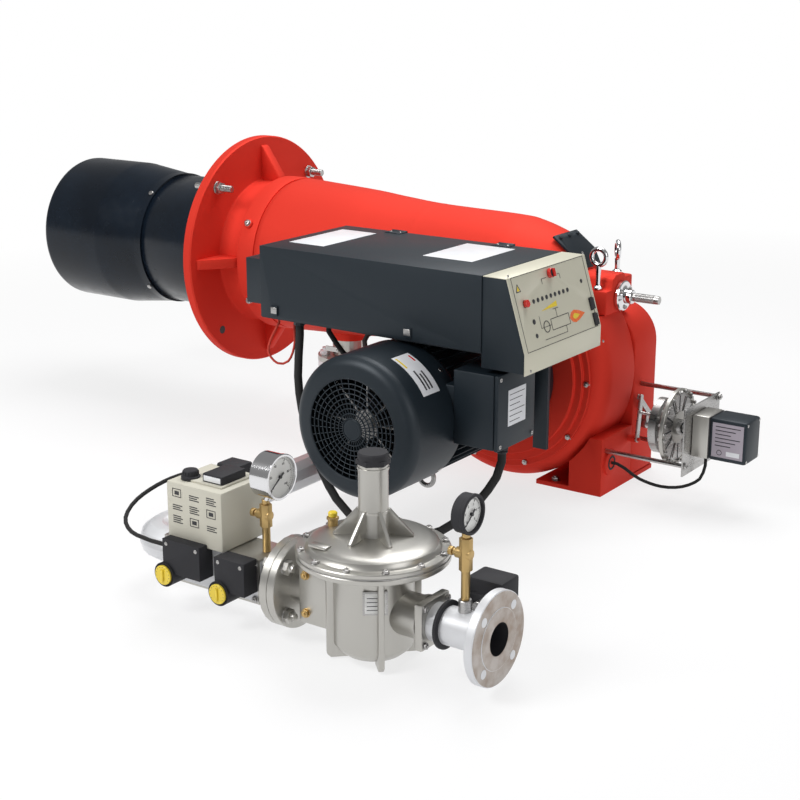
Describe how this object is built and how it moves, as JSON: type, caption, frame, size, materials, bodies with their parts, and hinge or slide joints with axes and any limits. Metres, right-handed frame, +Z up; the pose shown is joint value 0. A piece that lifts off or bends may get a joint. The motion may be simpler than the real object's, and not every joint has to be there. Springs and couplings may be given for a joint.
{
  "type": "gas burner",
  "caption": "Forced-draught gas burner with a cast body, blast tube, fan motor, electrical box, cam drive for air and gas, and a gas train.",
  "frame": {"origin": "middle of the foot's underside, on the floor", "axes": "+Z up; the burner's axis runs along X with the flame toward -X; the motor and the gas train are on the -Y side"},
  "size_m": [2.26, 1.683, 0.813],
  "materials": {
    "red_casting": "glossy red paint over a cast surface",
    "black_paint": "glossy black paint",
    "steel": "zinc plated",
    "chrome": "bright plate",
    "cast_aluminium": "silver, as cast",
    "white_paint": "silver white paint",
    "cream_plastic": "cream",
    "panel_enamel": "beige enamel",
    "brass": "satin",
    "black_plastic": "satin black",
    "grey_plastic": "warm grey",
    "yellow_plastic": "yellow",
    "rubber": "black",
    "red_rubber": "red"
  },
  "bodies": {
    "burner": {"actuator": "cream_plastic", "air_box": "red_casting", "base_foot": "red_casting", "blast_tube": "black_paint", "body_duct": "red_casting", "box_base": "black_paint", "butterfly_body": "cast_aluminium", "control_panel": "panel_enamel", "fan_cowl": "black_paint", "flame_sleeve": "black_paint", "gas_distributor": "steel", "gas_pipe": "white_paint", "gauge_case_1": "chrome", "gauge_case_2": "chrome", "gauge_cock_1": "brass", "gauge_cock_2": "brass", "ignition_cable": "rubber", "inlet_flange": "white_paint", "lifting_eye_1": "steel", "lifting_eye_2": "steel", "motor_conduit": "rubber", "motor_housing": "black_paint", "motor_plate": "red_casting", "mounting_flange": "red_casting", "pressure_switch_1": "black_plastic", "pressure_switch_2": "black_plastic", "rear_cover": "black_paint", "regulator_body": "cast_aluminium", "regulator_diaphragm": "rubber", "regulator_dome": "cast_aluminium", "rod_bush": "chrome", "scroll_housing": "red_casting", "sensing_hose": "red_rubber", "servo_cable": "rubber", "servo_motor": "grey_plastic", "servo_plate": "steel", "terminal_box": "black_paint", "valve_body": "cast_aluminium", "valve_cable": "rubber"},
    "fan": {"motor_shaft": "steel", "impeller": "steel"},
    "gas_head": {"gas_lance": "steel", "flame_disc": "steel"},
    "cam": {"cam_disc": "steel"},
    "follower": {"follower_lever": "steel"},
    "link": {"link_rod": "steel"},
    "air_flap": {"air_damper": "steel"},
    "gas_flap": {"gas_butterfly": "steel"},
    "lid": {"box_lid": "black_paint"},
    "selector": {"selector_knob": "black_plastic"},
    "reset": {"reset_button": "black_plastic"},
    "rocker_1": {"rocker_1": "black_plastic"},
    "rocker_2": {"rocker_2": "black_plastic"},
    "flow": {"flow_knob": "black_plastic"},
    "dial_1": {"switch_dial_1": "yellow_plastic"},
    "dial_2": {"switch_dial_2": "yellow_plastic"},
    "cock_1": {"cock_button_1": "brass"},
    "cock_2": {"cock_button_2": "brass"},
    "pointer_1": {"gauge_pointer_1": "black_plastic"},
    "pointer_2": {"gauge_pointer_2": "black_plastic"}
  },
  "joints": [
    {"name": "fan_spin", "type": "hinge", "parent": "burner", "child": "fan", "pos_m": [-0.195, -0.4, 0.293], "axis": [0, 1, 0], "continuous": true},
    {"name": "head_slide", "type": "slide", "parent": "burner", "child": "gas_head", "axis": [1, 0, 0], "range_m": [0, 0.04]},
    {"name": "cam_turn", "type": "hinge", "parent": "burner", "child": "cam", "pos_m": [0.248, -0.045, 0.19], "axis": [-1, 0, 0], "range_deg": [0, 90]},
    {"name": "follower_swing", "type": "hinge", "parent": "burner", "child": "follower", "pos_m": [0.1155, 0.003, 0.12], "axis": [-1, 0, 0], "range_deg": [0, 20]},
    {"name": "link_pivot", "type": "hinge", "parent": "follower", "child": "link", "pos_m": [0.1085, 0.018, 0.229], "axis": [1, 0, 0], "range_deg": [0, 9.8]},
    {"name": "damper_turn", "type": "hinge", "parent": "burner", "child": "air_flap", "pos_m": [0.092, 0.083, 0.14], "axis": [-1, 0, 0], "range_deg": [0, 72]},
    {"name": "gas_valve_turn", "type": "hinge", "parent": "burner", "child": "gas_flap", "pos_m": [-0.8, 0, 0.238], "axis": [0, 1, 0], "range_deg": [0, 81]},
    {"name": "lid_hinge", "type": "hinge", "parent": "burner", "child": "lid", "pos_m": [-0.27, -0.2862, 0.645], "axis": [-1, 0, 0], "range_deg": [0, 100]},
    {"name": "selector_turn", "type": "hinge", "parent": "burner", "child": "selector", "pos_m": [0.10777, -0.461, 0.62947], "axis": [0.956, 0, 0.2933], "range_deg": [-45, 45]},
    {"name": "reset_push", "type": "slide", "parent": "burner", "child": "reset", "axis": [-0.956, 0, -0.2933], "range_m": [0, 0.004], "stiffness_N_per_m": 200, "springref_m": -0.002},
    {"name": "rocker_1_tilt", "type": "hinge", "parent": "burner", "child": "rocker_1", "pos_m": [0.1365, -0.3085, 0.53578], "axis": [0, 1, 0], "range_deg": [-8, 8]},
    {"name": "rocker_2_tilt", "type": "hinge", "parent": "burner", "child": "rocker_2", "pos_m": [0.1475, -0.3065, 0.49992], "axis": [0, 1, 0], "range_deg": [-8, 8]},
    {"name": "flow_turn", "type": "hinge", "parent": "burner", "child": "flow", "pos_m": [-0.283, -1.233, 0.293], "axis": [0, 0, 1], "range_deg": [-135, 135]},
    {"name": "dial_1_turn", "type": "hinge", "parent": "burner", "child": "dial_1", "pos_m": [-0.306, -1.302, 0.088], "axis": [0, 1, 0], "range_deg": [-130, 130]},
    {"name": "dial_2_turn", "type": "hinge", "parent": "burner", "child": "dial_2", "pos_m": [-0.158, -1.302, 0.082], "axis": [0, 1, 0], "range_deg": [-130, 130]},
    {"name": "cock_1_push", "type": "slide", "parent": "burner", "child": "cock_1", "axis": [1, 0, 0], "range_m": [0, 0.005], "stiffness_N_per_m": 200, "springref_m": -0.002},
    {"name": "cock_2_push", "type": "slide", "parent": "burner", "child": "cock_2", "axis": [1, 0, 0], "range_m": [0, 0.005], "stiffness_N_per_m": 200, "springref_m": -0.002},
    {"name": "pointer_1_turn", "type": "hinge", "parent": "burner", "child": "pointer_1", "pos_m": [-0.068, -1.205, 0.321], "axis": [-1, 0, 0], "range_deg": [0, 250], "stiffness_Nm_per_rad": 0.002, "springref_deg": -11.46},
    {"name": "pointer_2_turn", "type": "hinge", "parent": "burner", "child": "pointer_2", "pos_m": [0.382, -1.205, 0.338], "axis": [-1, 0, 0], "range_deg": [0, 250], "stiffness_Nm_per_rad": 0.002, "springref_deg": -11.46}
  ],
  "couplings": [
    {"joint": "follower_swing", "follows": "cam_turn", "ratio": 0.2222},
    {"joint": "link_pivot", "follows": "cam_turn", "ratio": 0.1086},
    {"joint": "damper_turn", "follows": "cam_turn", "ratio": 0.8},
    {"joint": "gas_valve_turn", "follows": "cam_turn", "ratio": 0.9}
  ]
}
